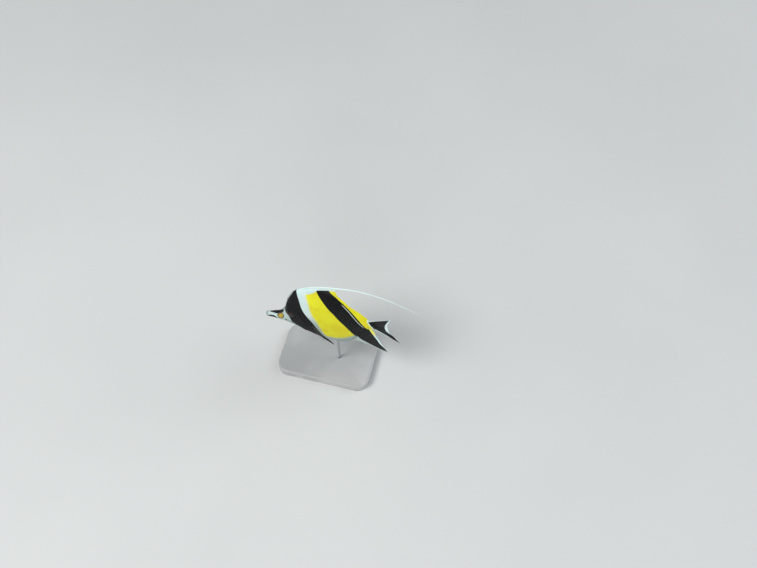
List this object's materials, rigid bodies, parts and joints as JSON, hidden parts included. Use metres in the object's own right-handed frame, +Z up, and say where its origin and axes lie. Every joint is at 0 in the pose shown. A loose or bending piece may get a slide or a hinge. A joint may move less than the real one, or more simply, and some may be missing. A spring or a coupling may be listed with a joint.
{
  "type": "moorish idol fish",
  "caption": "Life-size moorish idol fish, a still display model swimming slightly nose down with its dorsal filament trailing, held over a flat base by a rod.",
  "frame": {"origin": "centre of the underside of the stand's base", "axes": "+Z up, -X the way the fish's head points, -Y the fish's left side"},
  "size_m": [0.1784, 0.068, 0.1754],
  "materials": {
    "skin_white": "satin fish skin with fine scales, bluish white",
    "skin_yellow": "satin fish skin with fine scales, lemon yellow between two black bands",
    "skin_black": "satin fish skin with fine scales, black",
    "eye": "glossy dark eye with a narrow brown iris",
    "fin_clear": "thin, nearly clear fin membrane between fine rays",
    "stand_paint": "satin grey paint on an aluminium plate",
    "stand_steel": "brushed stainless steel rod"
  },
  "bodies": {
    "root": {"snout": "skin_white", "lower_jaw": "skin_black", "head": "skin_black", "gill_cover_left": "skin_black", "gill_cover_right": "skin_black", "eye_left": "eye", "eye_right": "eye", "horn_left": "skin_black", "horn_right": "skin_black", "trunk": "skin_yellow", "tail_stalk": "skin_yellow", "tail_fin": "skin_black", "dorsal_fin": "skin_white", "dorsal_filament_1": "skin_white", "dorsal_filament_2": "skin_white", "dorsal_filament_3": "skin_white", "anal_fin": "skin_black", "pectoral_fin_left": "fin_clear", "pectoral_fin_right": "fin_clear", "pelvic_fin_left": "skin_black", "pelvic_fin_right": "skin_black", "stand_base": "stand_paint", "stand_rod": "stand_steel"}
  },
  "joints": []
}
